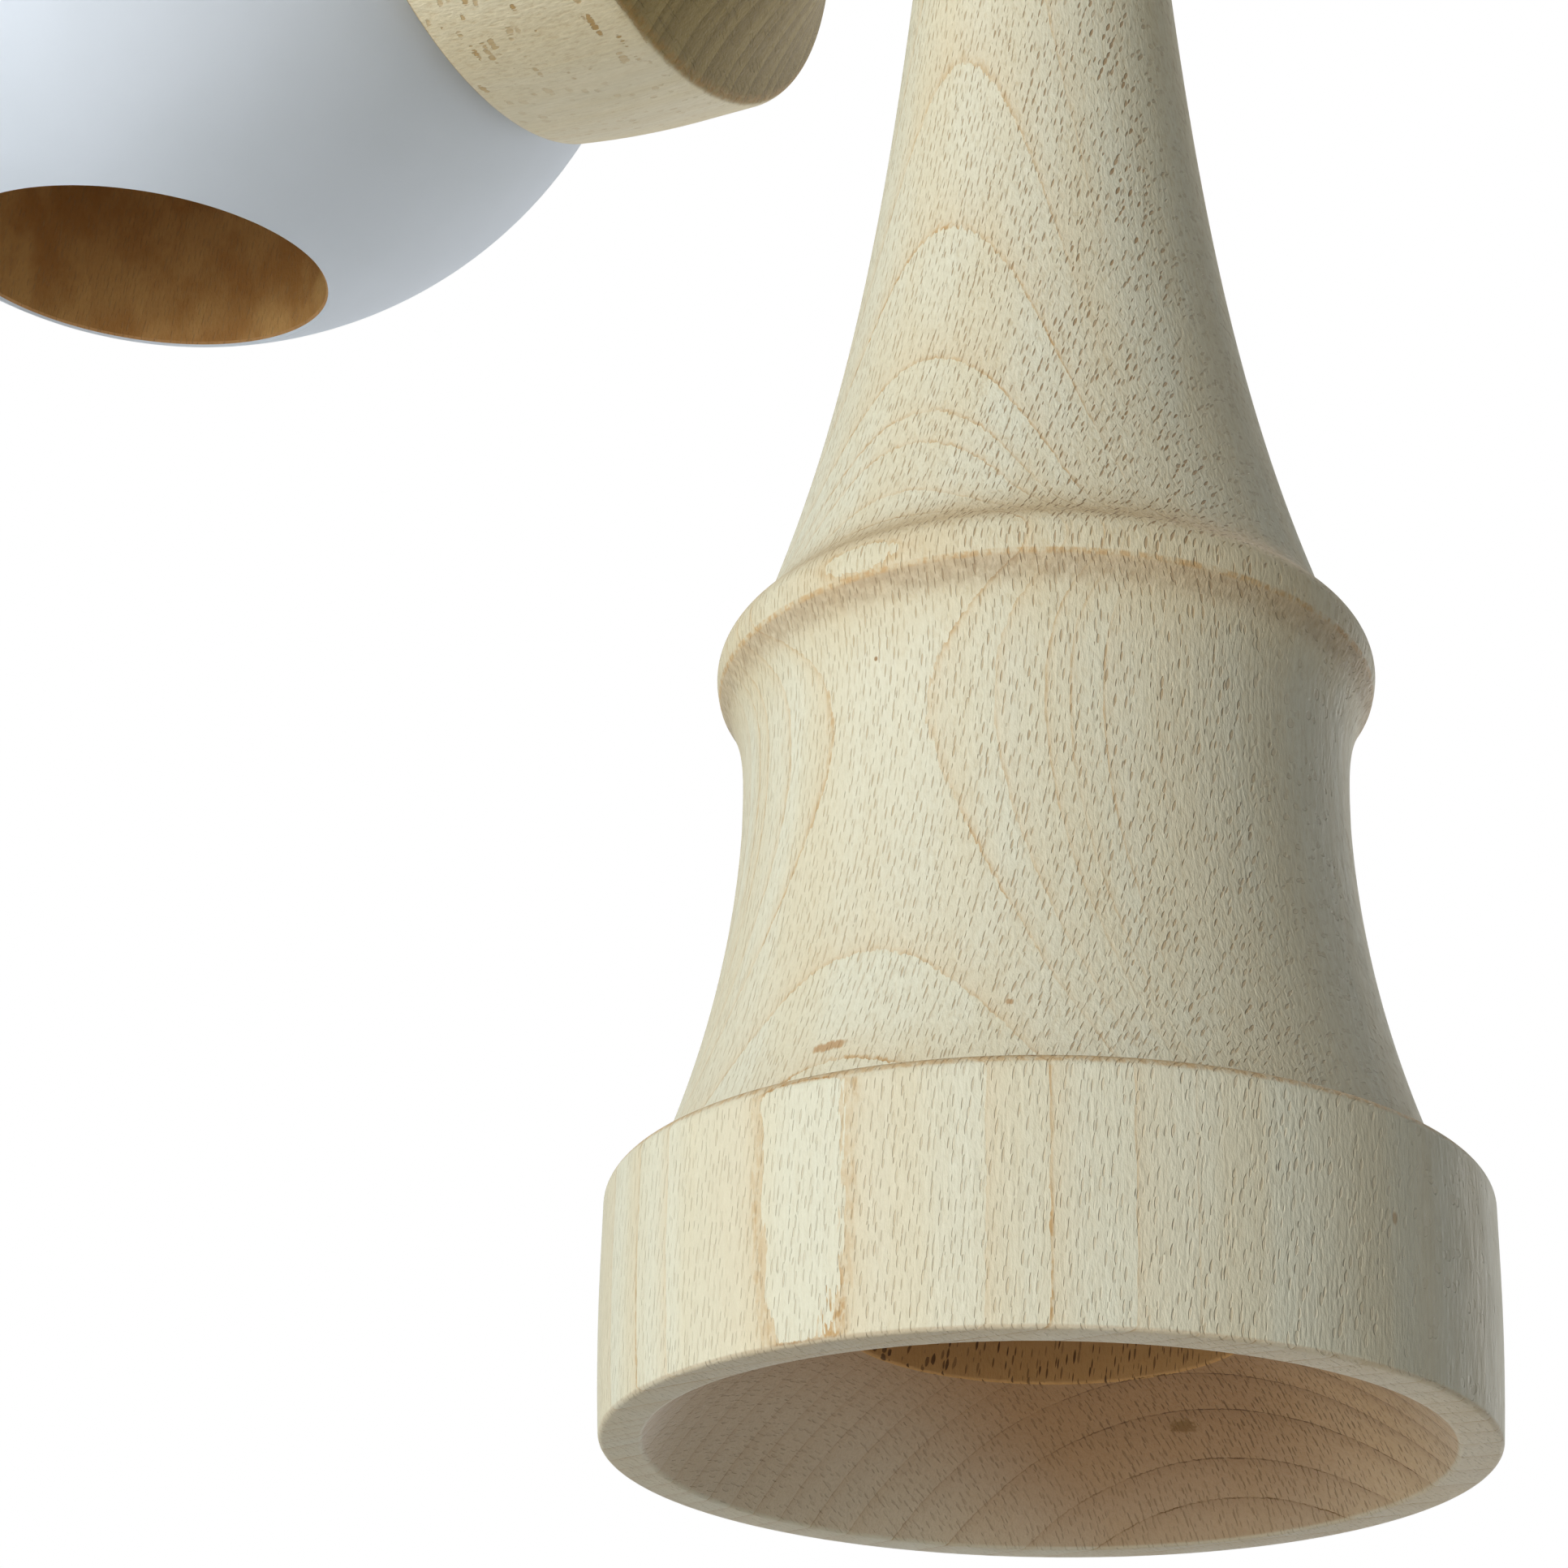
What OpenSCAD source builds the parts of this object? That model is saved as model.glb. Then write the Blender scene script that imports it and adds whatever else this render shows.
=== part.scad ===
// Cup and ball toy of turned hardwood, in millimetres. A handle with a base cup and a spike carries a
// cross-piece with two side cups, which slides down over the spike, and a bored ball sits in the big cup.
// +Z runs up the handle from its base rim. The cross-piece lies along X with the big cup at -X.

/* [Base cup] */
// Largest diameter of the band around the base cup
base_dia = 41; // [39.5:0.5:46]
// How far the band draws in towards the rim
base_crown = 0.28; // [0:0.05:0.8]
// Height of the band, from the rim to its flat top
base_band = 11.75; // [9:0.25:15]
// Diameter of the base cup's mouth at the rim
base_mouth = 36.7; // [32:0.1:37.5]
// Radius of the hollow in the base cup
base_hollow = 25.3; // [22:0.1:32]
// Diameter of the bore in the middle of the base cup
base_bore = 19; // [12:0.5:22]
// Depth of that bore, from the rim
base_bore_depth = 28; // [14:1:34]

/* [Handle] */
// Length from the base rim to the tip of the spike
handle_len = 180; // [165:1:200]
// Diameter of the waist above the base cup
waist_dia = 29.4; // [26:0.1:31]
// Height of the narrowest point of the waist
waist_z = 32; // [28:0.1:32.5]
// Radius of the waist's hollow sweep
waist_sweep = 55.25; // [40:0.25:90]
// Diameter of the bead at the top of the waist
bead_dia = 32.4; // [31.5:0.1:36]
// Height of the bead's widest line
bead_z = 38.7; // [38:0.1:46]
// Height over which the waist flares out into the bead
bead_flare = 4.3; // [3:0.1:5.5]
// Radius over the top of the bead
bead_round = 1.6; // [0.5:0.1:2]
// Diameter where the grip meets the cross-piece
neck_dia = 11.6; // [11:0.1:14]
// Diameter of the spike where it leaves the cross-piece
spike_dia = 10.2; // [8:0.1:10.8]
// Diameter of the spike's rounded tip
tip_dia = 4.6; // [3:0.1:7]

/* [Cross-piece] */
// Height of the cross-piece's axis above the base rim
cross_z = 109; // [100:0.5:118]
// Diameter of the cross-piece's waist
cross_waist = 27; // [24:0.5:30]
// Slope of the cups' backs where they leave the bands, in degrees from the axis
back_slope = 62; // [50:1:75]
// Largest diameter of the big cup
big_dia = 46.6; // [44.8:0.2:50]
// Distance from the handle's axis to the big cup's rim
big_reach = 37; // [36:0.5:44]
// Diameter of the big cup's mouth, where the ball sits
big_mouth = 41; // [36:0.2:41.6]
// Radius of the hollow in the big cup
big_hollow = 26.5; // [24:0.1:28.5]
// Largest diameter of the small cup
small_dia = 42.4; // [40.6:0.2:46]
// Distance from the handle's axis to the small cup's rim
small_reach = 35.5; // [34:0.5:42]
// Diameter of the small cup's mouth
small_mouth = 37; // [32:0.2:37.4]
// Radius of the hollow in the small cup
small_hollow = 25.5; // [22:0.1:28]
// Width of the band around each side cup
side_band = 12.8; // [10:0.2:14]
// How far the side bands draw in towards their rims
side_crown = 0.6; // [0:0.05:0.9]

/* [Ball] */
// Diameter of the ball
ball_dia = 60; // [56:0.5:70]
// Diameter of the wide hole in the ball
ball_hole = 23.4; // [18:0.2:26]
// Depth of the hole's straight wall, from its mouth
ball_hole_depth = 36; // [24:1:38]
// Tilt of the hole away from straight down
hole_tilt = 9.45; // [0:0.05:60]
// Direction in which the hole is tilted, turned from +X
hole_turn = 135.6; // [0:0.1:360]

/* [Fits and edges] */
// Gap around the handle in the cross-piece's tapered seat
seat_gap = 0.04; // [0.02:0.01:0.1]
// Gap between the ball and the big cup's rim
cup_gap = 0.3; // [0.1:0.05:0.6]
// Diameter of the string hole through the cross-piece and handle
string_dia = 3.5; // [2:0.25:5]
// Diameter of the string hole in the ball
ball_string_dia = 4; // [2:0.25:6]
// Rounding of the cups' outer rim edges
rim_round = 0.3; // [0.2:0.05:0.8]
// Rounding at the top of the base band
base_round = 0.8; // [0.3:0.05:1.5]
// Rounding at the back of the side bands
side_round = 1.2; // [0.5:0.1:2]
// Chamfer at the mouth of the ball's hole
hole_chamfer = 0.4; // [0.1:0.1:1]

/* [Hidden] */
$fn = 96;
base_r = base_dia / 2;
waist_r = waist_dia / 2;
bead_r = bead_dia / 2;
neck_r = neck_dia / 2;
spike_r = spike_dia / 2;
tip_r = tip_dia / 2;
// Foot and head of the tapered seat, just outside the cross-piece's waist
seat_foot = cross_z - cross_waist / 2 - 0.3;
seat_head = cross_z + cross_waist / 2 + 1;
// Where the grip leaves the bead
grip_foot = bead_z + bead_round;
grip_r = bead_r - bead_round;
// Shares of the grip's drop that fall as a line, a bow and a flare, adding up to one
grip_line = 0.47;
grip_bow = 0.17;
grip_flare = 1 - grip_line - grip_bow;
// The cups' bands reach their full diameter this far from the rim
crown_run = 8;
// Distance from the handle's axis to the ball's centre, set by the rim that it sits on
ball_r = ball_dia / 2;
ball_x = -big_reach - sqrt(pow(ball_r + cup_gap, 2) - pow(big_mouth / 2, 2));
// Distance from the ball's centre to the plane of its hole's mouth
mouth_z = sqrt(pow(ball_r, 2) - pow(ball_hole / 2, 2));
wood = [0.85, 0.79, 0.66];
paint = [0.93, 0.94, 0.95];

// Points along an arc about c, from angle a to angle b in n steps
function arc(c, r, a, b, n) = [for (i = [0:n]) c + r * [cos(a + (b - a) * i / n), sin(a + (b - a) * i / n)]];

// Radius of a cup's band at height h above its rim
function crown_r(r, crown, h) = r - crown * pow(max(0, 1 - h / crown_run), 2);

// Outer outline of a cup, from its rim to its back, with an edge of radius back turned through sweep
function cup_outline(r, crown, band, back, sweep) = concat(
    arc([crown_r(r, crown, rim_round) - rim_round, rim_round], rim_round, -90, 0, 6),
    [for (i = [1:8]) let (h = rim_round + (crown_run - rim_round) * i / 8) [crown_r(r, crown, h), h]],
    arc([r - back, band - back], back, 0, sweep, 8)
);

// Hollow sweep from a cup's back in to the cross-piece's waist, measured up from the cup's rim
function back_outline(r, band, back) = let (
    start = [r - back + back * cos(back_slope), band - back + back * sin(back_slope)],
    sweep = (start[0] - cross_waist / 2) / (1 - cos(back_slope)),
    c = [cross_waist / 2 + sweep, start[1] + sweep * sin(back_slope)]
) [for (i = [1:12]) let (a = 180 + back_slope * (1 - i / 12)) c + sweep * [cos(a), sin(a)]];

// Radius of the waist's hollow sweep at height z
function waist_at(z) = waist_r + waist_sweep - sqrt(pow(waist_sweep, 2) - pow(z - waist_z, 2));

// Radius of the flare from the waist out to the bead, an even swell
function flare_at(z) = let (
    low = waist_at(bead_z - bead_flare),
    t = (z - bead_z + bead_flare) / bead_flare
) low + (bead_r - low) * (1 - cos(180 * t)) / 2;

// Radius of the grip between the bead and the seat
function grip_at(z) = let (
    v = (seat_foot - z) / (seat_foot - grip_foot)
) neck_r + (grip_r - neck_r) * (grip_line * v + grip_bow * pow(v, 2) + grip_flare * pow(v, 4));

// Radius of the tapered seat at height z
function seat_at(z) = neck_r + (spike_r - neck_r) * (z - seat_foot) / (seat_head - seat_foot);

function handle_outline() = concat(
    [[0, 0]],
    cup_outline(base_r, base_crown, base_band, base_round, 90),
    [for (i = [0:14]) let (z = base_band + (bead_z - bead_flare - base_band) * i / 14) [waist_at(z), z]],
    [for (i = [1:11]) let (z = bead_z - bead_flare + bead_flare * i / 12) [flare_at(z), z]],
    arc([grip_r, bead_z], bead_round, 0, 90, 8),
    [for (i = [1:24]) let (z = grip_foot + (seat_foot - grip_foot) * i / 24) [grip_at(z), z]],
    [[spike_r, seat_head]],
    arc([0, handle_len - tip_r], tip_r, 0, 90, 10)
);

function from_big_rim(outline) = [for (p = outline) [p[0], p[1] - big_reach]];

function from_small_rim(outline) = [for (i = [len(outline) - 1:-1:0]) [outline[i][0], small_reach - outline[i][1]]];

function cross_outline() = concat(
    [[0, -big_reach]],
    from_big_rim(cup_outline(big_dia / 2, side_crown, side_band, side_round, back_slope)),
    from_big_rim(back_outline(big_dia / 2, side_band, side_round)),
    from_small_rim(back_outline(small_dia / 2, side_band, side_round)),
    from_small_rim(cup_outline(small_dia / 2, side_crown, side_band, side_round, back_slope)),
    [[0, small_reach]]
);

// Ball-shaped hollow that meets the plane z = 0 in a circle of the mouth's diameter
module hollow(mouth, r) {
    translate([0, 0, -sqrt(pow(r, 2) - pow(mouth / 2, 2))])
        sphere(r);
}

module string_hole() {
    translate([0, 0, cross_z])
        rotate([90, 0, 0])
            cylinder(h = 2 * cross_waist, d = string_dia, center = true);
}

module handle() {
    color(wood)
        difference() {
            rotate_extrude()
                polygon(handle_outline());
            hollow(base_mouth, base_hollow);
            translate([0, 0, -1])
                cylinder(h = base_bore_depth + 1, d = base_bore);
            string_hole();
        }
}

// Taper that clears the handle's seat, carried on past both ends
module seat_bore() {
    over = 4;
    translate([0, 0, seat_foot - over])
        cylinder(
            h = seat_head - seat_foot + 2 * over,
            r1 = seat_at(seat_foot - over) + seat_gap,
            r2 = seat_at(seat_head + over) + seat_gap
        );
}

module crosspiece() {
    color(wood)
        difference() {
            translate([0, 0, cross_z])
                rotate([0, 90, 0])
                    difference() {
                        rotate_extrude()
                            polygon(cross_outline());
                        translate([0, 0, -big_reach])
                            hollow(big_mouth, big_hollow);
                        translate([0, 0, small_reach])
                            mirror([0, 0, 1])
                                hollow(small_mouth, small_hollow);
                    }
            seat_bore();
            string_hole();
        }
}

// Wide hole with a drill-point end, opening downwards from the ball's centre
module ball_bore() {
    r = ball_hole / 2;
    point = r / tan(60);
    top = ball_hole_depth - mouth_z;
    translate([0, 0, -ball_r])
        cylinder(h = ball_r + top, r = r);
    translate([0, 0, top])
        cylinder(h = point, r1 = r, r2 = 0);
    translate([0, 0, -mouth_z - 1])
        cylinder(h = 1 + hole_chamfer, r1 = r + 1 + hole_chamfer, r2 = r);
}

module ball() {
    color(paint)
        translate([ball_x, 0, cross_z])
            rotate([0, -hole_tilt, hole_turn])
                difference() {
                    sphere(ball_r);
                    ball_bore();
                    cylinder(h = ball_r + 1, d = ball_string_dia);
                }
}

handle();
crosspiece();
ball();
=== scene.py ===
import math

import bpy
import numpy as np
from mathutils import Matrix, Vector


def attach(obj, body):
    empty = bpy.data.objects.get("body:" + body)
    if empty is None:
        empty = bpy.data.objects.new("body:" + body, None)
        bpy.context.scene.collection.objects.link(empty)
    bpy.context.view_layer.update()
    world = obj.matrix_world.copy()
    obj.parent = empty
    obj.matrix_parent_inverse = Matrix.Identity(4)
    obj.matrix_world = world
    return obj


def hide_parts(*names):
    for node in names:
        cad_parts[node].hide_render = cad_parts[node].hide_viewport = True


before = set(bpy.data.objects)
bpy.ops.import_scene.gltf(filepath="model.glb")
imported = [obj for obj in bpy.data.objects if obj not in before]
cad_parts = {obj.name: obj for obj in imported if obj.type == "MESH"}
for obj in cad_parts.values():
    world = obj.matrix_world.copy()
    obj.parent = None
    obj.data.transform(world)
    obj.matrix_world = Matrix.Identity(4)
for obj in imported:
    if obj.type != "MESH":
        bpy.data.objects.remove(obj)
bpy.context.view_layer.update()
mm = 0.001  # profiles are worked out in millimetres
print("frame loaded:", ", ".join(sorted(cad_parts)))


# profile helpers: a profile is rows of [radius, distance along the axis], in mm

def arc(centre, radius, startDeg, endDeg, count):
    # circle about centre: centre + radius * (cos a, sin a), with a running evenly from start to end
    a = np.radians(np.linspace(startDeg, endDeg, count))
    return np.column_stack((centre[0] + radius * np.cos(a), centre[1] + radius * np.sin(a)))


def line(start, end, count):
    # straight run: start + (end - start) * t
    t = np.linspace(0, 1, count)[:, None]
    return np.asarray(start) + (np.asarray(end) - np.asarray(start)) * t


def easedEdge(before, corner, after, ease, count=7):
    # parabola that leaves one side and joins the other at distance ease from the corner
    before, corner, after = (np.asarray(p, float) for p in (before, corner, after))
    a = corner + (before - corner) * ease / np.linalg.norm(before - corner)
    b = corner + (after - corner) * ease / np.linalg.norm(after - corner)
    t = np.linspace(0, 1, count)[:, None]
    return (1 - t) ** 2 * a + 2 * t * (1 - t) * corner + t ** 2 * b


def joinRuns(*runs):
    # one profile from several runs, leaving out points that repeat the one before
    rows = np.vstack(runs)
    step = np.linalg.norm(np.diff(rows, axis=0), axis=1)
    return rows[np.concatenate(([True], step > 1e-5))]


def dishRun(mouthRadius, hollowRadius, fromRadius, toRadius, count):
    # ball-shaped hollow: depth below the rim = sqrt(R^2 - r^2) - sqrt(R^2 - mouth^2)
    r = np.linspace(fromRadius, toRadius, count)
    depth = np.sqrt(hollowRadius ** 2 - r ** 2) - math.sqrt(hollowRadius ** 2 - mouthRadius ** 2)
    return np.column_stack((r, depth))


def cupRun(radius, crown, band, back, sweepDeg, rimRound, crownRun=8.0):
    # rim edge arc, then the band r - crown * (1 - h / run)^2, then the arc over its back edge
    h = np.linspace(rimRound, crownRun, 24)
    bandRun = np.column_stack((radius - crown * (1 - h / crownRun) ** 2, h))
    rim = arc((bandRun[0, 0] - rimRound, rimRound), rimRound, -90, 0, 8)
    rise = line((radius, crownRun), (radius, band - back), 8)
    return joinRuns(rim, bandRun, rise, arc((radius - back, band - back), back, 0, sweepDeg, 14))


# mesh helpers

def spinMesh(name, profile, origin, axes, turns, closedLoop=False):
    # surface of revolution: origin + r * (cos a * u + sin a * v) + t * w, a going once round
    u, v, w = (np.asarray(axis, float) for axis in axes)
    a = np.arange(turns) * 2 * np.pi / turns
    ringDir = np.cos(a)[:, None] * u + np.sin(a)[:, None] * v
    body = profile if closedLoop else profile[1:-1]
    grid = np.asarray(origin) + body[:, None, :1] * ringDir + body[:, None, 1:] * w
    rows = len(body)
    index = np.arange(rows * turns).reshape(rows, turns)
    low = index if closedLoop else index[:-1]
    high = np.roll(index, -1, axis=0) if closedLoop else index[1:]
    quads = np.stack((low, np.roll(low, -1, axis=1), np.roll(high, -1, axis=1), high), axis=-1).reshape(-1, 4)
    points, faces = grid.reshape(-1, 3), quads.tolist()
    if not closedLoop:
        poles = np.asarray(origin) + profile[[0, -1], 1:] * w
        points = np.vstack((points, poles))
        first, last = index[0], index[-1]
        tip = np.full(turns, rows * turns)
        faces += np.column_stack((tip, np.roll(first, -1), first)).tolist()
        faces += np.column_stack((last, np.roll(last, -1), tip + 1)).tolist()
    mesh = bpy.data.meshes.new(name)
    mesh.from_pydata((points * mm).tolist(), [], faces)
    mesh.validate()
    piece = bpy.data.objects.new(name, mesh)
    bpy.context.scene.collection.objects.link(piece)
    return piece


def boreThrough(piece, start, end, startRadius, endRadius, turns=96):
    # straight or tapered bore from start to end, cut out of the piece
    start, end = np.asarray(start, float), np.asarray(end, float)
    w = (end - start) / np.linalg.norm(end - start)
    u = np.cross(w, (1, 0, 0) if abs(w[0]) < 0.9 else (0, 1, 0))
    u /= np.linalg.norm(u)
    length = np.linalg.norm(end - start)
    wall = line((startRadius, 0), (endRadius, length), 24)
    cutter = spinMesh("cutter", joinRuns([[0, 0]], wall, [[0, length]]), start, (u, np.cross(w, u), w), turns)
    cut = piece.modifiers.new("bore", "BOOLEAN")
    cut.operation, cut.solver, cut.object = "DIFFERENCE", "EXACT", cutter
    done = bpy.data.meshes.new_from_object(piece.evaluated_get(bpy.context.evaluated_depsgraph_get()))
    piece.modifiers.clear()
    piece.data = done
    bpy.data.objects.remove(cutter)


def finishPiece(piece, body, node, materials, sharpDeg=32):
    # smooth faces with crisp edges where two faces meet at more than the given angle
    mesh = piece.data
    mesh.materials.clear()
    for material in materials:
        mesh.materials.append(material)
    mesh.polygons.foreach_set("use_smooth", np.ones(len(mesh.polygons), bool))
    mesh.set_sharp_from_angle(angle=math.radians(sharpDeg))
    mesh.update()
    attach(piece, body)
    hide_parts(node)
    print("made", piece.name, "with", len(mesh.polygons), "faces")


# node helpers

def addNode(tree, kind, **settings):
    # a node of one kind with its settings filled in
    node = tree.nodes.new(kind)
    for key, value in settings.items():
        setattr(node, key, value)
    return node


def feed(tree, socket, value):
    # a socket is linked, anything else is set as the socket's own value
    if isinstance(value, bpy.types.NodeSocket):
        tree.links.new(value, socket)
    else:
        socket.default_value = value


def calc(tree, operation, *values):
    # one step of arithmetic on numbers
    node = addNode(tree, "ShaderNodeMath", operation=operation)
    for socket, value in zip(node.inputs, values):
        feed(tree, socket, value)
    return node.outputs[0]


def vecCalc(tree, operation, *values):
    # one step on vectors, which gives a number for a dot product or a length
    node = addNode(tree, "ShaderNodeVectorMath", operation=operation)
    for socket, value in zip(node.inputs, values):
        feed(tree, socket, value)
    return node.outputs["Value" if operation in ("DOT_PRODUCT", "LENGTH") else "Vector"]


def product(tree, *factors):
    # all factors multiplied
    result = factors[0]
    for factor in factors[1:]:
        result = calc(tree, "MULTIPLY", result, factor)
    return result


def stir(tree, value, field, amount):
    # value + amount * (field - 0.5)
    return calc(tree, "MULTIPLY_ADD", calc(tree, "SUBTRACT", field, 0.5), amount, value)


def remap(tree, value, low, high, toLow=0.0, toHigh=1.0, smooth=True):
    # low to high becomes toLow to toHigh, held past both ends, along 3 t^2 - 2 t^3 or a straight line
    node = addNode(tree, "ShaderNodeMapRange", interpolation_type="SMOOTHSTEP" if smooth else "LINEAR")
    for socket, item in zip(node.inputs, (value, low, high, toLow, toHigh)):
        feed(tree, socket, item)
    return node.outputs[0]


def mixColour(tree, factor, first, second):
    # first + factor * (second - first)
    node = addNode(tree, "ShaderNodeMix", data_type="RGBA")
    feed(tree, node.inputs[0], factor)
    feed(tree, node.inputs[6], first if isinstance(first, bpy.types.NodeSocket) else (*first, 1))
    feed(tree, node.inputs[7], second if isinstance(second, bpy.types.NodeSocket) else (*second, 1))
    return node.outputs[2]


def noise(tree, vector, scale, layers=2.0, roughness=0.5):
    # smooth noise about 0.5, each further layer twice as fine and weaker by the roughness
    node = addNode(tree, "ShaderNodeTexNoise")
    feed(tree, node.inputs["Vector"], vector)
    for key, value in (("Scale", scale), ("Detail", layers), ("Roughness", roughness)):
        node.inputs[key].default_value = value
    return node.outputs["Fac"]


def combine(tree, x, y, z):
    # the vector (x, y, z)
    node = addNode(tree, "ShaderNodeCombineXYZ")
    for socket, value in zip(node.inputs, (x, y, z)):
        feed(tree, socket, value)
    return node.outputs[0]


def stepCurve(tree, value, stops):
    # straight lines from stop to stop: each stop counts one more
    node = addNode(tree, "ShaderNodeFloatCurve")
    curve = node.mapping.curves[0]
    span = stops[-1] - stops[0]
    for i, stop in enumerate(stops):
        x, y = (stop - stops[0]) / span, i / (len(stops) - 1)
        if i == 0:
            curve.points[0].location = (x, y)
        elif i == len(stops) - 1:
            curve.points[-1].location = (x, y)
        else:
            curve.points.new(x, y)
    for point in curve.points:
        point.handle_type = "VECTOR"
    node.mapping.update()
    feed(tree, node.inputs["Value"], remap(tree, value, stops[0], stops[-1], smooth=False))
    return calc(tree, "MULTIPLY", node.outputs[0], float(len(stops) - 1))


def stepLevels(tree, index, levels):
    # the level of each whole index, held over its step
    node = addNode(tree, "ShaderNodeValToRGB")
    ramp = node.color_ramp
    ramp.interpolation = "CONSTANT"
    ramp.elements.remove(ramp.elements[1])
    for i, level in enumerate(levels):
        stop = ramp.elements[0] if i == 0 else ramp.elements.new(i / len(levels))
        stop.color = (level, level, level, 1)
    feed(tree, node.inputs[0], calc(tree, "DIVIDE", calc(tree, "ADD", index, 0.5), float(len(levels))))
    return node.outputs[0]


def addBump(tree, shader, height, relief, strength):
    # surface tilted as if raised by height * relief, with the relief in mm
    bump = addNode(tree, "ShaderNodeBump")
    bump.inputs["Strength"].default_value = strength
    bump.inputs["Distance"].default_value = relief * mm
    feed(tree, bump.inputs["Height"], height)
    feed(tree, shader.inputs["Normal"], bump.outputs[0])


def startMaterial(name):
    # a new material, with the place in the object's own frame in mm
    material = bpy.data.materials.new(name)
    material.use_nodes = True
    tree = material.node_tree
    shader = tree.nodes["Principled BSDF"]
    where = addNode(tree, "ShaderNodeTexCoord")
    place = vecCalc(tree, "MULTIPLY", where.outputs["Object"], (1 / mm,) * 3)
    return material, tree, shader, where, place


# bare turned wood, with its growth rings, rays and fibres worked out in the solid

paleBeech = {
    # side grain, tinted by slow drift, by ring and by streak
    "pale": (0.60, 0.59, 0.465), "warm": (0.59, 0.555, 0.41), "late": (0.57, 0.46, 0.29), "lateShare": 0.45,
    "haloPower": 4.0, "ringTint": 0.15, "streak": (0.51, 0.46, 0.33), "streakShare": 0.2,
    # flecks of the fine mosaic: dark ones, and bright bluish ones that are painted glints
    "fleckDark": (0.78, 0.68, 0.55), "paintedGlint": (1.12, 1.14, 1.18), "mosaicShare": 0.55,
    # end grain, from pale to deep across the piece
    "end": (0.345, 0.175, 0.066), "endPale": (0.48, 0.36, 0.24), "endLate": (0.24, 0.115, 0.043),
    "endHalo": 0.6, "endBold": 1.8, "endShare": 0.92, "endFrom": (0.25, 0.95), "endDeep": (-15.0, -6.0),
    "endFaint": (2.0, -11.0, 0.0, 0.8),
    # ring lines
    "line": (0.40, 0.235, 0.08), "endLine": (0.10, 0.05, 0.027), "lineShare": 0.85, "lineWidth": 0.09,
    "ringSway": 0.3, "ringJag": 0.14,
    # rays, one to a cell of the given size across, along and outward, with their half sizes
    "ray": (0.26, 0.16, 0.07), "rayPale": (0.42, 0.28, 0.13), "endRay": (0.13, 0.07, 0.03), "rayShare": 0.85,
    "rayCell": (0.37, 0.62, 0.38), "rayHalf": (0.043, 0.33, 0.25), "rayBulk": (0.6, 1.4), "rayScatter": 0.8,
    "rayLean": 0.11, "raySway": 0.8, "rayJag": 0.0, "rayRise": (-14.0, 12.0, 0.4, 1.0), "riseOutward": False,
    "rayEnd": 1.0, "rayFlat": 1.0, "rayQuarter": 0.3,
    # each noise: stretch along the grain, scale per mm, layers and roughness
    "noises": {"sway": (0.12, 0.16, 2.0, 0.5), "jag": (0.12, 4.5, 2.0, 0.6), "dots": (0.6, 2.6, 2.0, 0.6),
               "patches": (0.12, 0.8, 2.0, 0.5), "streaks": (0.05, 5.0, 3.0, 0.65), "mosaic": (0.34, 5.0, 3.0, 0.62),
               "drift": (0.05, 0.3, 3.0, 0.5)},
    "rough": (0.5, 0.68), "specular": 0.15, "relief": 0.05,
}

handleWood = dict(paleBeech)
handleWood.update({
    "grain": (0, 0, 1), "across": (0.9907, -0.136, 0), "outward": (-0.136, -0.9907, 0),
    "pithAt": (0.0, -120.0), "pithLean": (0.032, -0.0094),
    "footSwing": {"from": 16.0, "to": 10.0, "aside": 1.3}, "footDraw": {"from": 10.0, "to": 0.0, "inward": 0.3},
    # distance of each ring's edge from the pith line, and the strength of the line at it
    "rings": [97.9, 99.8, 101.7, 103.62, 105.45, 108.22, 110.62, 112.9, 114.97, 116.9, 118.6, 120.3, 122.0, 123.8,
              125.5, 127.24, 128.67, 130.09, 131.76, 132.6, 133.11, 134.05, 134.8, 136.48, 138.2, 139.2, 140.5, 142.5],
    "ringBold": [0.8, 0.6, 0.9, 0.7, 1.0, 0.8, 0.6, 0.9, 0.7, 0.8, 0.6, 0.7, 0.5, 0.6, 0.6, 0.55, 1.0, 0.8, 0.65,
                 0.55, 0.35, 0.7, 0.5, 1.0, 0.35, 1.0, 0.6],
    "endTop": (0.48, 0.38, 0.23),
    # bore wall colour and its dark rays: partly burnished wood, partly painted shade and bounce light of the deep
    # bore, reaching over the mouth's eased edge as a painted golden highlight line
    "burnishAndShade": {"radius": 9.62, "top": 28.5, "colour": (0.55, 0.30, 0.10), "share": 0.9, "ray": (0.08, 0.04, 0.02)},
    # changes between two places: the places first, then the levels or the tint
    "endRight": ((3.0, 12.0), (0.50, 0.30, 0.14)), "goldenZone": ((33.0, 37.0), (43.0, 40.0), (0.96, 0.92, 0.86)),
    "paleRim": (0.05, 0.2, 0.3, 1.0), "calmBelow": ((11.0, 12.5, 0.5, 1.0), (36.0, 41.0, 0.72, 1.0)),
    # height, half width, strength and colour of each browned edge; the first is the wide band in the cove under the
    # bead, partly rough end grain and partly painted shade
    "edgeTintsAndCoveShade": ((37.0, 0.8, 0.4, (0.30, 0.22, 0.13)), (37.65, 0.2, 0.6, (0.44, 0.25, 0.08)),
              (11.45, 0.25, 0.5, (0.44, 0.25, 0.08))),
    # centre, half sizes, strength and colour of each small blemish
    "marks": (((-2.75, -17.5, 13.91), (0.95, 1.0, 0.26), 0.75, (0.35, 0.19, 0.065)),
              ((5.19, -16.55, 15.12), (0.2, 0.3, 0.18), 0.7, (0.35, 0.19, 0.065)),
              ((-2.3, -14.55, 33.87), (0.1, 0.3, 0.12), 0.9, (0.25, 0.14, 0.052)),
              ((18.94, -7.81, 6.52), (0.2, 0.2, 0.3), 0.6, (0.31, 0.18, 0.07)),
              ((1.79, 12.71, 4.38), (0.8, 0.6, 0.45), 0.95, (0.23, 0.125, 0.046))),
})

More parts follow.
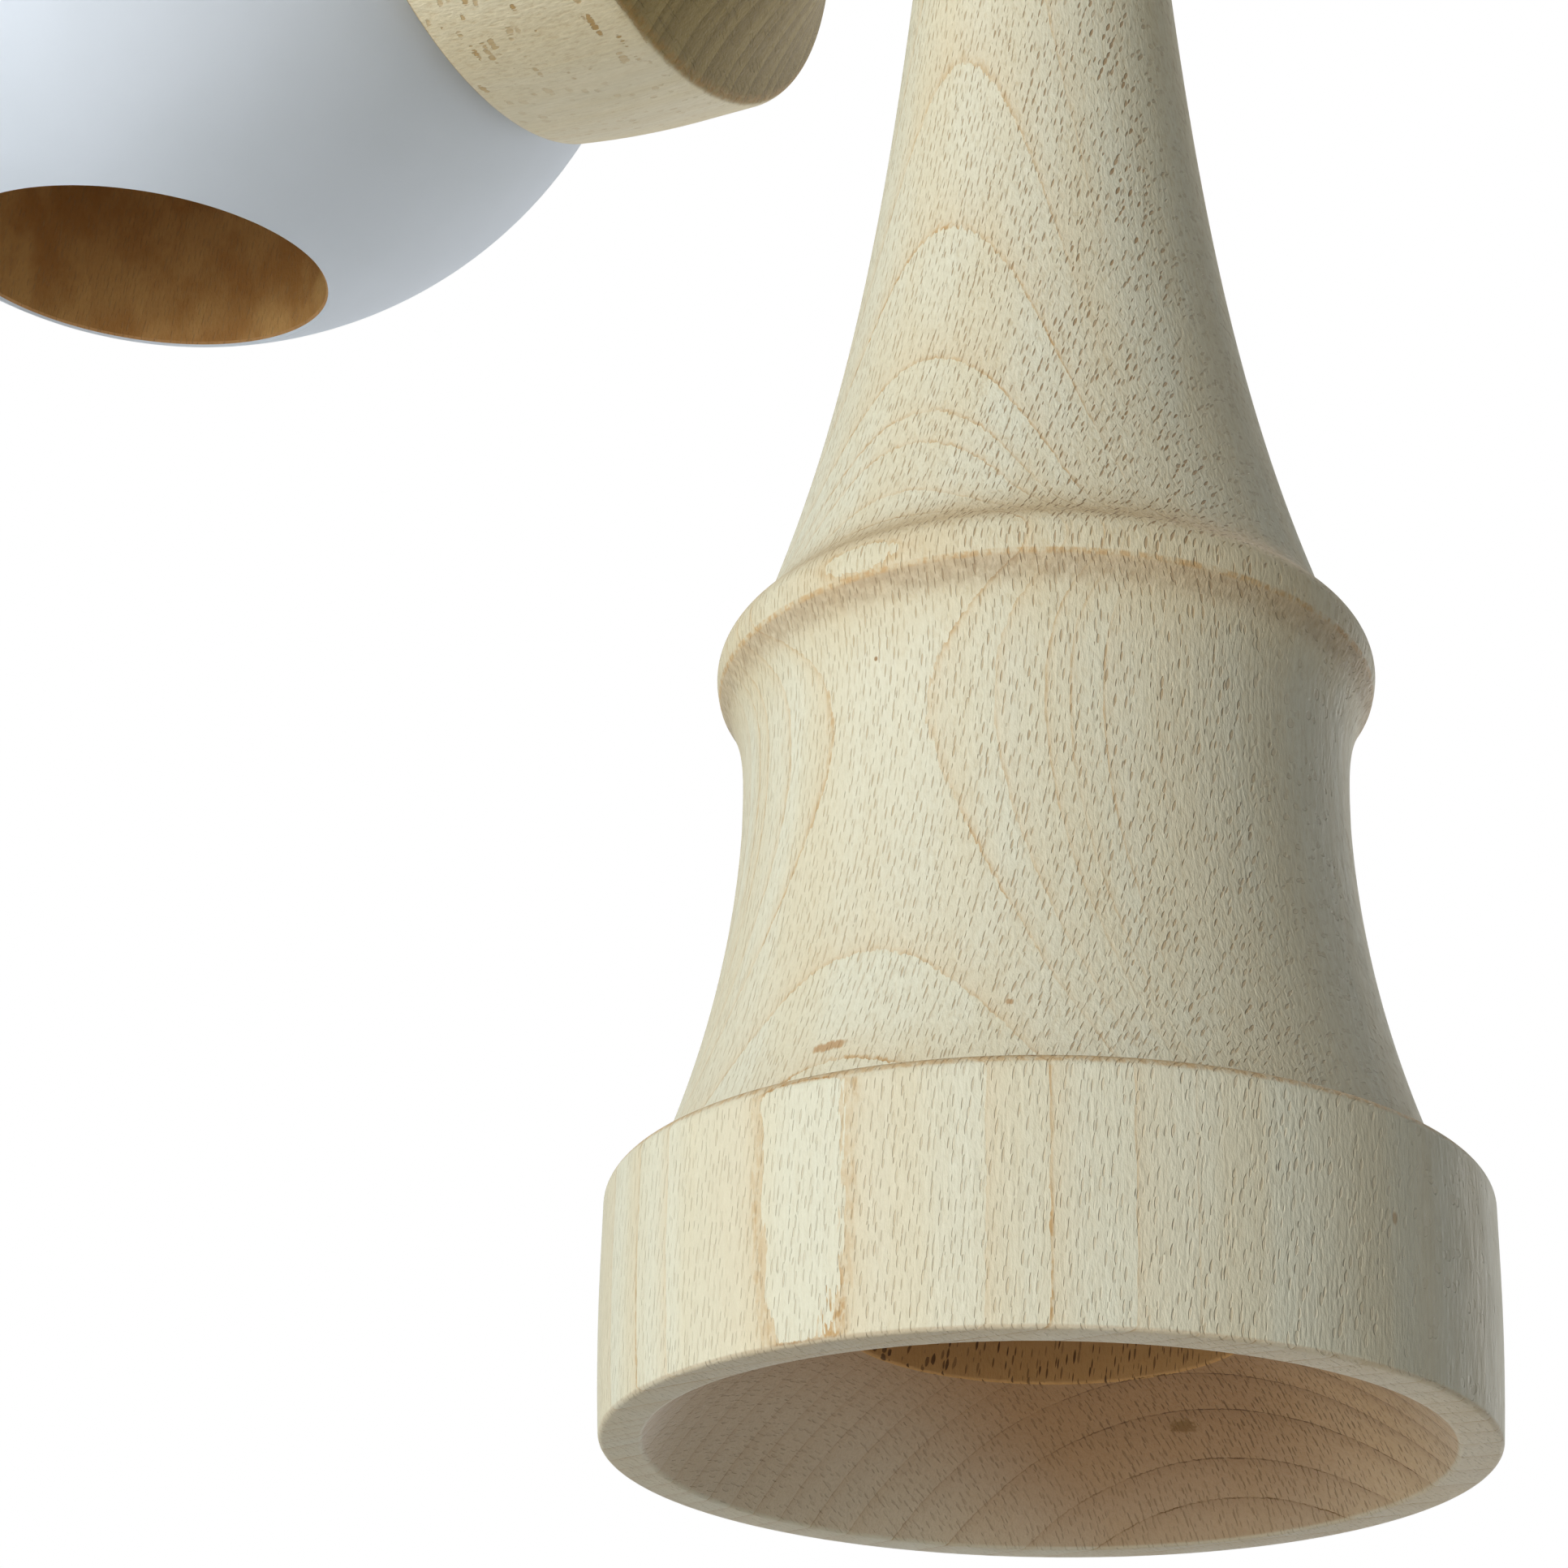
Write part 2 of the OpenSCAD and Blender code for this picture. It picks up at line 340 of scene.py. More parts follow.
crossWood = dict(paleBeech)
crossWood.update({
    "grain": (1, 0, 0), "across": (0, 0.07, 0.9976), "outward": (0, -0.9976, 0.07),
    "pithAt": (88.0, -66.4), "pithLean": (0.02, 0.015),
    "rings": np.round(46 + np.cumsum(1.7 + 0.7 * np.sin(np.arange(31) * 2.4)), 2).tolist(),
    "pale": (0.76, 0.69, 0.51), "warm": (0.75, 0.66, 0.45), "late": (0.69, 0.54, 0.32), "lineShare": 0.3,
    "haloPower": 2.0,
    "ray": (0.43, 0.255, 0.075), "rayPale": (0.52, 0.33, 0.11), "endRay": (0.12, 0.085, 0.03),
    "rayCell": (0.33, 0.72, 2.4), "rayHalf": (0.055, 0.25, 1.25), "rayBulk": (0.05, 1.6),
    "rayLean": 0.0, "rayJag": 0.25, "rayRise": (2.5, 7.0, 0.3, 1.0), "riseOutward": True,
    "rayEnd": 0.4, "rayFlat": 0.8, "rayQuarter": 1.0,
    "end": (0.33, 0.255, 0.108), "endPale": (0.33, 0.255, 0.108), "endLate": (0.22, 0.165, 0.066),
    "endHalo": 1.0, "endBold": 1.0, "endShare": 1.0, "endFrom": (0.3, 0.65), "endStreak": 0.7,
    "cupTint": ((24.5, 27.0), (1.45, 1.45, 1.75)),
    "edgeTintsAndCoveShade": ((-24.6, 0.35, 0.5, (0.40, 0.22, 0.07)), (23.1, 0.35, 0.5, (0.40, 0.22, 0.07))),
})

ballWood = dict(paleBeech)
ballWood.update({
    "grain": (0, 0, 1), "across": (0.8, 0.6, 0), "outward": (0.6, -0.8, 0),
    "pithAt": (-47.0, -60.0), "pithLean": (0.25, 0.2),
    "rings": np.round(14 + np.cumsum(2.6 + 1.2 * np.sin(np.arange(31) * 2.4)), 2).tolist(),
    "pale": (0.60, 0.35, 0.125), "warm": (0.42, 0.205, 0.06), "late": (0.44, 0.22, 0.07), "lateShare": 0.35,
    "haloPower": 1.5, "ringTint": 0.2, "ringSway": 12.0, "lineShare": 0.15, "streak": (0.46, 0.25, 0.09),
    "end": (0.48, 0.26, 0.10), "endPale": (0.48, 0.26, 0.10), "endLate": (0.38, 0.19, 0.07),
    "rayRise": (-90.0, -80.0, 0.5, 0.5),
    "noises": {**paleBeech["noises"], "drift": (0.7, 0.3, 3.0, 0.5)},
})


def woodSpace(tree, where, place, wood):
    # place along the wood's three axes, how squarely a face cuts across the grain or lies flat to the rings,
    # and the noises, each in a space squeezed along the grain
    space = {"across": vecCalc(tree, "DOT_PRODUCT", place, wood["across"]),
             "outward": vecCalc(tree, "DOT_PRODUCT", place, wood["outward"]),
             "along": vecCalc(tree, "DOT_PRODUCT", place, wood["grain"]),
             "upFacing": vecCalc(tree, "DOT_PRODUCT", where.outputs["Normal"], wood["grain"])}
    space["endFacing"] = calc(tree, "ABSOLUTE", space["upFacing"])
    flatness = vecCalc(tree, "DOT_PRODUCT", where.outputs["Normal"], wood["outward"])
    space["flatFacing"] = calc(tree, "ABSOLUTE", flatness)
    space["endGrain"] = remap(tree, space["endFacing"], *wood["endFrom"])
    if "paleRim" in wood:  # the sanded rim stays pale
        space["endGrain"] = product(tree, space["endGrain"], remap(tree, space["along"], *wood["paleRim"]))
    for field, (stretch, scale, layers, roughness) in wood["noises"].items():
        stretched = combine(tree, space["across"], product(tree, space["along"], stretch), space["outward"])
        space[field] = noise(tree, stretched, scale, layers, roughness)
    return space


def ringLines(tree, wood, space):
    # count = ring edges passed on the way out from the pith line, stirred so that no ring is a clean circle;
    # a line shows where the next edge is less than the line's width ahead, and the halo is share^power
    across, along, outward = space["across"], space["along"], space["outward"]
    ringX = calc(tree, "MULTIPLY_ADD", along, -wood["pithLean"][0], across)
    ringX = calc(tree, "SUBTRACT", ringX, wood["pithAt"][0])
    ringY = calc(tree, "MULTIPLY_ADD", along, -wood["pithLean"][1], outward)
    ringY = calc(tree, "SUBTRACT", ringY, wood["pithAt"][1])
    if "footSwing" in wood:  # towards the foot the rings swing aside and draw in with the band
        swing, draw = wood["footSwing"], wood["footDraw"]
        swung = remap(tree, along, swing["from"], swing["to"])
        drawn = calc(tree, "POWER", remap(tree, along, draw["from"], draw["to"], smooth=False), 2.0)
        ringX = calc(tree, "MULTIPLY_ADD", swung, swing["aside"], ringX)
        ringY = calc(tree, "MULTIPLY_ADD", drawn, draw["inward"], ringY)
    distance = vecCalc(tree, "LENGTH", combine(tree, ringX, ringY, 0.0))
    distance = stir(tree, distance, space["sway"], wood["ringSway"])
    distance = stir(tree, distance, space["jag"], wood["ringJag"])
    count = stepCurve(tree, distance, wood["rings"])
    countAhead = stepCurve(tree, calc(tree, "ADD", distance, wood["lineWidth"]), wood["rings"])
    share = calc(tree, "FRACT", count)
    left = calc(tree, "DIVIDE", calc(tree, "SUBTRACT", 1.0, share), calc(tree, "SUBTRACT", countAhead, count))

    ringNumber = calc(tree, "FLOOR", count)
    chance = addNode(tree, "ShaderNodeTexWhiteNoise", noise_dimensions="1D")
    feed(tree, chance.inputs["W"], ringNumber)
    chances = addNode(tree, "ShaderNodeSeparateColor")
    feed(tree, chances.inputs[0], chance.outputs["Color"])
    if "ringBold" in wood:
        bold = stepLevels(tree, ringNumber, wood["ringBold"])
    else:
        bold = remap(tree, chances.outputs[0], 0.0, 1.0, 0.4, 1.0, False)

    # rings show where they are cut flat or across, and fade on the faces along the rays
    shown = calc(tree, "MAXIMUM", remap(tree, space["flatFacing"], 0.5, 0.88),
                 remap(tree, space["endFacing"], 0.5, 0.75))
    # cut across, the lines are bolder, and the rings on the left are fainter
    endBold = remap(tree, space["endGrain"], 0.0, 1.0, 1.0, wood["endBold"])
    clear = calc(tree, "SUBTRACT", 1.0, product(tree, space["endGrain"], remap(tree, across, *wood["endFaint"])))
    dots = remap(tree, space["dots"], 0.36, 0.58, 0.25, 1.0)
    patches = remap(tree, space["patches"], 0.38, 0.58, 0.35, 1.0)
    lines = product(tree, remap(tree, left, 1.0, 0.2), dots, bold, patches, shown, endBold, clear)
    halo = product(tree, calc(tree, "POWER", share, wood["haloPower"]), shown)
    endHalo = product(tree, halo, wood["endHalo"], clear)
    return lines, halo, endHalo, product(tree, chances.outputs[1], wood["ringTint"])


def rayLenses(tree, wood, space):
    # one thin lens to a cell: bulk - y^2 - z^2 - |x|, measured from the cell's point in half sizes of the ray
    cell, half = wood["rayCell"], wood["rayHalf"]
    swayed = stir(tree, space["across"], space["sway"], wood["raySway"])
    swayed = calc(tree, "MULTIPLY_ADD", space["along"], -wood["rayLean"], swayed)
    swayed = stir(tree, swayed, space["jag"], wood["rayJag"])
    raySpace = vecCalc(tree, "DIVIDE", combine(tree, swayed, space["along"], space["outward"]), cell)
    cells = addNode(tree, "ShaderNodeTexVoronoi", feature="F1")
    feed(tree, cells.inputs["Vector"], raySpace)
    cells.inputs["Scale"].default_value = 1.0
    cells.inputs["Randomness"].default_value = wood["rayScatter"]
    away = vecCalc(tree, "SUBTRACT", raySpace, cells.outputs["Position"])
    away = vecCalc(tree, "MULTIPLY", away, tuple(c / h for c, h in zip(cell, half)))
    awayParts = addNode(tree, "ShaderNodeSeparateXYZ")
    feed(tree, awayParts.inputs[0], away)
    x, y, z = awayParts.outputs
    chances = addNode(tree, "ShaderNodeSeparateColor")
    feed(tree, chances.inputs[0], cells.outputs["Color"])
    bulk = remap(tree, chances.outputs[1], 0.0, 1.0, *wood["rayBulk"], False)
    bulk = calc(tree, "SUBTRACT", bulk, product(tree, y, y))
    bulk = calc(tree, "SUBTRACT", bulk, product(tree, z, z))
    bulk = calc(tree, "SUBTRACT", bulk, calc(tree, "ABSOLUTE", x))
    lens = product(tree, remap(tree, bulk, -0.1, 0.35), remap(tree, chances.outputs[0], 0.0, 0.8, 0.4, 1.0, False))

    # they grow stronger towards one side, and change with the cut
    rise = remap(tree, space["outward"] if wood["riseOutward"] else space["across"], *wood["rayRise"])
    for calm in wood.get("calmBelow", ()):  # the sanded band and the waist show fewer of them, the hollow all
        rise = product(tree, rise, calc(tree, "MAXIMUM", remap(tree, space["along"], *calm), space["endGrain"]))
    tone = product(tree, lens, rise, remap(tree, space["endGrain"], 0.0, 1.0, 1.0, wood["rayEnd"]),
                   remap(tree, space["flatFacing"], 0.6, 0.95, 1.0, wood["rayFlat"]),
                   remap(tree, space["flatFacing"], 0.15, 0.5, wood["rayQuarter"], 1.0))
    return lens, rise, tone


def endGrainColour(tree, wood, space, halo):
    # pale to deep across the piece, darker towards each ring's edge by the halo
    colour = mixColour(tree, remap(tree, space["across"], *wood["endDeep"]), wood["endPale"], wood["end"])
    if "endRight" in wood:  # and paler again on the far right
        colour = mixColour(tree, remap(tree, space["across"], *wood["endRight"][0]), colour, wood["endRight"][1])
    colour = mixColour(tree, halo, colour, wood["endLate"])
    if "endStreak" in wood:  # soft bands that follow the rings
        bandSpace = combine(tree, product(tree, space["across"], 0.1), 0.0, space["outward"])
        bands = noise(tree, bandSpace, 1.6, 3.0, 0.6)
        colour = mixColour(tree, remap(tree, bands, 0.4, 0.65, 0.0, wood["endStreak"]), colour, wood["endLate"])
    if "endTop" in wood:  # faces that look up the handle are paler than the hollow below
        colour = mixColour(tree, remap(tree, space["upFacing"], -0.2, 0.2), colour, wood["endTop"])
    if "cupTint" in wood:  # the hollows at both ends are paler than the cups' backs
        hollow = remap(tree, calc(tree, "ABSOLUTE", space["along"]), *wood["cupTint"][0])
        colour = mixColour(tree, hollow, colour, vecCalc(tree, "MULTIPLY", colour, wood["cupTint"][1]))
    return colour


def bareWood(name, wood):
    # each layer mixed over the one before: side grain, end grain, flecks with their painted glints, ring lines, rays,
    # edges and marks, with painted shade in the bore and in the cove under the bead;
    # height = 0.5 * streaks - 0.8 * rays - 1.2 * flecks
    material, tree, shader, where, place = startMaterial(name)
    space = woodSpace(tree, where, place, wood)
    lines, halo, endHalo, ringTint = ringLines(tree, wood, space)
    lens, rise, rayTone = rayLenses(tree, wood, space)
    along, endGrain, streaks, mosaic = (space[key] for key in ("along", "endGrain", "streaks", "mosaic"))

    colour = mixColour(tree, remap(tree, space["drift"], 0.35, 0.65), wood["pale"], wood["warm"])
    colour = mixColour(tree, ringTint, colour, wood["late"])
    colour = mixColour(tree, product(tree, halo, wood["lateShare"]), colour, wood["late"])
    colour = mixColour(tree, remap(tree, streaks, 0.3, 0.7, 0.0, wood["streakShare"]), colour, wood["streak"])
    endColour = endGrainColour(tree, wood, space, endHalo)
    colour = mixColour(tree, product(tree, endGrain, wood["endShare"]), colour, endColour)
    rayColour = mixColour(tree, remap(tree, rise, 0.4, 1.0), wood["rayPale"], wood["ray"])
    rayColour = mixColour(tree, endGrain, rayColour, wood["endRay"])
    if "burnishAndShade" in wood:  # the bored wall inside the base is golden and darker: partly burnished wood, partly painted shade and warm bounce light of the deep bore; its radius reaches over the eased edge at the mouth, where the golden colour paints a highlight line
        burnishAndShade = wood["burnishAndShade"]
        wide = vecCalc(tree, "LENGTH", vecCalc(tree, "MULTIPLY", place, (1, 1, 0)))
        inside = product(tree, calc(tree, "LESS_THAN", wide, burnishAndShade["radius"]),
                         calc(tree, "LESS_THAN", along, burnishAndShade["top"]))
        colour = mixColour(tree, product(tree, inside, burnishAndShade["share"]), colour, burnishAndShade["colour"])
        rayTone = calc(tree, "MAXIMUM", rayTone, product(tree, inside, lens))
        rayColour = mixColour(tree, inside, rayColour, burnishAndShade["ray"])
    if "goldenZone" in wood:  # the bead's wood is a little deeper in tone
        foot, head, tint = wood["goldenZone"]
        zone = product(tree, remap(tree, along, *foot), remap(tree, along, *head))
        colour = mixColour(tree, zone, colour, vecCalc(tree, "MULTIPLY", colour, tint))
    mosaicShare = product(tree, rise, wood["mosaicShare"])
    for reach, tint in ((0.72, wood["fleckDark"]), (0.3, wood["paintedGlint"])):  # dark flecks, then bright ones, which are painted glints
        fleck = product(tree, remap(tree, mosaic, 0.5, reach), mosaicShare)
        colour = mixColour(tree, fleck, colour, vecCalc(tree, "MULTIPLY", colour, tint))
    lineColour = mixColour(tree, endGrain, wood["line"], wood["endLine"])
    colour = mixColour(tree, product(tree, lines, wood["lineShare"]), colour, lineColour)
    colour = mixColour(tree, product(tree, rayTone, wood["rayShare"]), colour, rayColour)
    for edge, half, strength, stainAndShade in wood.get("edgeTintsAndCoveShade", ()):  # turned edges, browned and broken up; on the handle the wide band in the cove under the bead is partly rough end grain and partly painted shade
        near = remap(tree, calc(tree, "ABSOLUTE", calc(tree, "SUBTRACT", along, edge)), half, 0.3 * half)
        near = product(tree, near, remap(tree, space["dots"], 0.38, 0.6, 0.2 * strength, strength))
        colour = mixColour(tree, near, colour, stainAndShade)
    for centre, spread, strength, stainAndShade in wood.get("marks", ()):  # small natural blemishes, ragged ellipsoids
        off = vecCalc(tree, "DIVIDE", vecCalc(tree, "SUBTRACT", place, centre), spread)
        ragged = stir(tree, vecCalc(tree, "LENGTH", off), space["jag"], 1.6)
        colour = mixColour(tree, remap(tree, ragged, 1.15, 0.55, 0.0, strength), colour, stainAndShade)
    feed(tree, shader.inputs["Base Color"], colour)

    feed(tree, shader.inputs["Roughness"], remap(tree, streaks, 0.25, 0.75, *wood["rough"]))
    shader.inputs["Specular IOR Level"].default_value = wood["specular"]
    height = calc(tree, "MULTIPLY_ADD", lens, -0.8, product(tree, streaks, 0.5))
    height = calc(tree, "MULTIPLY_ADD", mosaic, -1.2, height)
    addBump(tree, shader, height, wood["relief"], 1.0)
    return material


# matt white paint with a fine spray texture

whitePaint = {
    "white": (0.71, 0.765, 0.835), "shade": (0.69, 0.745, 0.81), "rough": (0.62, 0.74), "specular": 0.12,
    "sprayScale": 3.0, "cloudScale": 0.12, "relief": 0.012, "bump": 0.4,
}


def mattPaint(name, paint):
    # two whites mixed by a slow noise, with roughness and height from a fine one
    material, tree, shader, where, place = startMaterial(name)
    spray = noise(tree, place, paint["sprayScale"], 3.0, 0.6)
    cloud = noise(tree, place, paint["cloudScale"])
    colour = mixColour(tree, remap(tree, cloud, 0.3, 0.7), paint["white"], paint["shade"])
    feed(tree, shader.inputs["Base Color"], colour)
    feed(tree, shader.inputs["Roughness"], remap(tree, spray, 0.3, 0.7, *paint["rough"]))
    shader.inputs["Specular IOR Level"].default_value = paint["specular"]
    addBump(tree, shader, spray, paint["relief"], paint["bump"])
    return material


handleFinish = bareWood("handleBeech", handleWood)
crossFinish = bareWood("crossBeech", crossWood)
boreFinish = bareWood("ballBeech", ballWood)
paintFinish = mattPaint("whitePaint", whitePaint)
print("finishes ready")


# handle: base cup with its bore, band, hollow waist, bead, grip, seat and spike

handle = {
    "baseRadius": 20.5, "baseCrown": 0.28, "baseBand": 11.75, "baseMouth": 18.35, "baseHollow": 25.3,
    "boreRadius": 9.5, "boreDepth": 28.0, "waistRadius": 14.7, "waistHeight": 32.0, "waistSweep": 55.25,
    "flareFoot": 30.24, "flarePower": 3.69, "edgeRadius": 16.06, "edgeHeight": 37.6, "beadRadius": 16.22,
    "beadHeight": 38.54, "beadRound": 1.94, "gripRadius": 14.6, "gripFoot": 40.3, "filletRun": 3.0, "neckRadius": 5.8,
    "spikeRadius": 5.1, "tipRadius": 2.3, "length": 180.0, "seatFoot": 95.2, "seatHead": 123.5,
    "gripShares": (0.47, 0.17, 0.36), "rimRound": 0.3, "baseRound": 0.8, "edgeEase": 0.12,
    "beadSweepDeg": 49.0, "stringHeight": 109.0, "stringRadius": 1.75, "stringReach": 16.0, "stringTurns": 48,
    "turns": 240,
    # points along each run of the profile
    "steps": {"ceiling": 6, "wall": 24, "dish": 44, "waist": 44, "flare": 32, "swell": 5, "shoulder": 12, "fillet": 12,
              "grip": 60, "seat": 24, "spike": 24, "tip": 12},
}


def handleProfile(h):
    # from the bore's ceiling down its wall, out over the dish and the rim, then up the outside to the tip
    steps = h["steps"]
    dish = dishRun(h["baseMouth"], h["baseHollow"], h["boreRadius"], h["baseMouth"], steps["dish"])
    boreEdge = easedEdge((h["boreRadius"], h["boreDepth"]), dish[0], dish[1], h["edgeEase"])
    mouthEdge = easedEdge(dish[-2], dish[-1], (h["baseRadius"], 0), h["edgeEase"])
    outside = cupRun(h["baseRadius"], h["baseCrown"], h["baseBand"], h["baseRound"], 90, h["rimRound"])
    # waist: radius = waist + sweep - sqrt(sweep^2 - (z - waist height)^2)
    z = np.linspace(h["baseBand"], h["flareFoot"], steps["waist"])
    waist = np.column_stack((h["waistRadius"] + h["waistSweep"]
                             - np.sqrt(h["waistSweep"] ** 2 - (z - h["waistHeight"]) ** 2), z))
    # flare: radius = low + (edge - low) * t^power, out to a crisp edge under the bead
    t = np.linspace(0, 1, steps["flare"])
    low = waist[-1, 0]
    flare = np.column_stack((low + (h["edgeRadius"] - low) * t ** h["flarePower"],
                             h["flareFoot"] + (h["edgeHeight"] - h["flareFoot"]) * t))
    # bead: a quarter sine out to its widest line, then an arc over its shoulder
    t = np.linspace(0, 1, steps["swell"])
    swell = np.column_stack((h["edgeRadius"] + (h["beadRadius"] - h["edgeRadius"]) * np.sin(np.pi * t / 2),
                             h["edgeHeight"] + (h["beadHeight"] - h["edgeHeight"]) * t))
    beadEdge = easedEdge(flare[-2], flare[-1], swell[1], h["edgeEase"])
    shoulder = arc((h["beadRadius"] - h["beadRound"], h["beadHeight"]), h["beadRound"], 0, h["beadSweepDeg"],
                   steps["shoulder"])
    bead = joinRuns(swell[1:], shoulder)
    # grip: neck + drop * (line * v + bow * v^2 + flare * v^4), v falling from 1 at the bead to 0 at the neck,
    # plus a fillet that dies out from the bead's shoulder as (1 - rise / run)^3
    filletTop = bead[-1, 1] + h["filletRun"]
    z = np.concatenate((np.linspace(bead[-1, 1], filletTop, steps["fillet"]),
                        np.linspace(filletTop, h["seatFoot"], steps["grip"])[1:]))
    v = (h["seatFoot"] - z) / (h["seatFoot"] - h["gripFoot"])
    shares = h["gripShares"]
    drop = (h["gripRadius"] - h["neckRadius"]) * (shares[0] * v + shares[1] * v ** 2 + shares[2] * v ** 4)
    gap = bead[-1, 0] - h["neckRadius"] - drop[0]
    grip = np.column_stack((h["neckRadius"] + drop + gap * np.maximum(0, 1 - (z - z[0]) / h["filletRun"]) ** 3, z))
    seat = line((h["neckRadius"], h["seatFoot"]), (h["spikeRadius"], h["seatHead"]), steps["seat"])
    tipCentre = (0, h["length"] - h["tipRadius"])
    spike = line((h["spikeRadius"], h["seatHead"]), (h["tipRadius"], tipCentre[1]), steps["spike"])
    tip = arc(tipCentre, h["tipRadius"], 0, 90, steps["tip"])
    tip[-1, 0] = 0
    ceiling = line((0, h["boreDepth"]), (h["boreRadius"], h["boreDepth"]), steps["ceiling"])
    wall = line((h["boreRadius"], h["boreDepth"]), boreEdge[0], steps["wall"])
    return joinRuns(ceiling, wall, boreEdge, dish[1:-1], mouthEdge, outside, waist, flare[:-1], beadEdge, bead,
                    grip, seat, spike, tip)


upright = ((1, 0, 0), (0, 1, 0), (0, 0, 1))
turnedHandle = spinMesh("turnedHandle", handleProfile(handle), (0, 0, 0), upright, handle["turns"])
boreThrough(turnedHandle, (0, -handle["stringReach"], handle["stringHeight"]),
            (0, handle["stringReach"], handle["stringHeight"]),
            handle["stringRadius"], handle["stringRadius"], handle["stringTurns"])
finishPiece(turnedHandle, "handle_body", "handle", [handleFinish])


# cross-piece: big cup, small cup and the waist between them, bored for the handle's seat and the string

cross = {
    "height": 109.0, "waistRadius": 13.5, "backSlope": 62.0, "band": 12.8, "crown": 0.6, "rimRound": 0.3,
    "backRound": 1.2, "edgeEase": 0.12, "seatGap": 0.04, "seatOver": 4.0, "stringReach": 27.0, "turns": 224,
    "steps": {"dish": 70, "back": 40, "waist": 24},  # points along each run of the profile
    "bigCup": {"radius": 23.3, "reach": 37.0, "mouth": 20.5, "hollow": 26.5},
    "smallCup": {"radius": 21.2, "reach": 35.5, "mouth": 18.5, "hollow": 25.5},
}


def sideCupProfile(c, cup):
    # from the bottom of the hollow, over the rim and band, down the back to the waist, measured from the rim
    dish = dishRun(cup["mouth"], cup["hollow"], 0, cup["mouth"], c["steps"]["dish"])
    mouthEdge = easedEdge(dish[-2], dish[-1], (cup["radius"], 0), c["edgeEase"])
    outside = cupRun(cup["radius"], c["crown"], c["band"], c["backRound"], c["backSlope"], c["rimRound"])
    # back: circle of radius sweep that leaves the band's edge at its slope and ends level with the waist
    start = outside[-1]
    slope = math.radians(c["backSlope"])
    sweep = (start[0] - c["waistRadius"]) / (1 - math.cos(slope))
    back = arc((c["waistRadius"] + sweep, start[1] + sweep * math.sin(slope)), sweep, 180 + c["backSlope"], 180,
               c["steps"]["back"])
    return joinRuns(dish[:-1], mouthEdge, outside, back)


bigSide = sideCupProfile(cross, cross["bigCup"])
smallSide = sideCupProfile(cross, cross["smallCup"])
bigSide[:, 1] -= cross["bigCup"]["reach"]
smallSide[:, 1] = cross["smallCup"]["reach"] - smallSide[:, 1]
crossWaist = line(bigSide[-1], smallSide[-1], cross["steps"]["waist"])
turnedCross = spinMesh("turnedCross", joinRuns(bigSide, crossWaist, smallSide[::-1]), (0, 0, cross["height"]),
                       ((0, 1, 0), (0, 0, 1), (1, 0, 0)), cross["turns"])
taper = (handle["spikeRadius"] - handle["neckRadius"]) / (handle["seatHead"] - handle["seatFoot"])
over = cross["seatOver"]  # the seat's taper is carried on past both sides
boreThrough(turnedCross, (0, 0, handle["seatFoot"] - over), (0, 0, handle["seatHead"] + over),
            handle["neckRadius"] - taper * over + cross["seatGap"],
            handle["spikeRadius"] + taper * over + cross["seatGap"])
boreThrough(turnedCross, (0, -cross["stringReach"], cross["height"]), (0, cross["stringReach"], cross["height"]),
            handle["stringRadius"], handle["stringRadius"], handle["stringTurns"])
finishPiece(turnedCross, "cross_body", "crosspiece", [crossFinish])


# ball: painted outside, bare inside its wide hole, with the string hole at the far pole

ball = {
    "radius": 30.0, "centre": (-59.3123, 0.0, 109.0), "holeRadius": 11.7, "holeDepth": 36.0, "tiltDeg": 9.45,
    "turnDeg": 135.6, "chamfer": 0.4, "drillHalfDeg": 60.0, "stringRadius": 2.0, "turns": 224,
    "steps": {"outside": 150, "lip": 5, "wall": 60, "cone": 20, "string": 16},  # points along each run of the profile
}


def ballProfile(b):
    # a closed loop: sphere, chamfered mouth, straight wall, drill cone, string hole
    radius, hole, string, steps = b["radius"], b["holeRadius"], b["stringRadius"], b["steps"]
    mouth = math.sqrt(radius ** 2 - hole ** 2)
    wallEnd = mouth - b["holeDepth"]
    apex = wallEnd - hole / math.tan(math.radians(b["drillHalfDeg"]))
    coneEnd = apex + string / math.tan(math.radians(b["drillHalfDeg"]))
    # the 45 degree chamfer r - t = hole - mouth + chamfer meets the sphere r^2 + t^2 = R^2
    k = hole - mouth + b["chamfer"]
    t = (-k + math.sqrt(2 * radius ** 2 - k ** 2)) / 2
    lipDeg = math.degrees(math.atan2(t, t + k))
    stringDeg = -math.degrees(math.acos(string / radius))
    outside = arc((0, 0), radius, stringDeg, lipDeg, steps["outside"])
    lip = line((t + k, t), (hole, mouth - b["chamfer"]), steps["lip"])
    wall = line((hole, mouth - b["chamfer"]), (hole, wallEnd), steps["wall"])
    cone = line((hole, wallEnd), (string, coneEnd), steps["cone"])
    stringWall = line((string, coneEnd), (string, -math.sqrt(radius ** 2 - string ** 2)), steps["string"])
    return joinRuns(outside, lip, wall, cone, stringWall)[:-1], len(outside)


tilt, turn = math.radians(ball["tiltDeg"]), math.radians(ball["turnDeg"])
holeDir = np.array((math.sin(tilt) * math.cos(turn), math.sin(tilt) * math.sin(turn), -math.cos(tilt)))
sideDir = np.cross(holeDir, (0, 1, 0))
sideDir /= np.linalg.norm(sideDir)
ballRows, paintedRows = ballProfile(ball)
paintedBall = spinMesh("paintedBall", ballRows, ball["centre"], (sideDir, np.cross(holeDir, sideDir), holeDir),
                       ball["turns"], closedLoop=True)
faceRow = np.arange(len(ballRows) * ball["turns"]) // ball["turns"]
bareFaces = (faceRow >= paintedRows + 1).astype(np.int32)  # paint ends halfway down the chamfer
finishPiece(paintedBall, "ball_body", "ball", [paintFinish, boreFinish])
paintedBall.data.polygons.foreach_set("material_index", bareFaces)
paintedBall.data.update()


# camera, close below the base and looking up

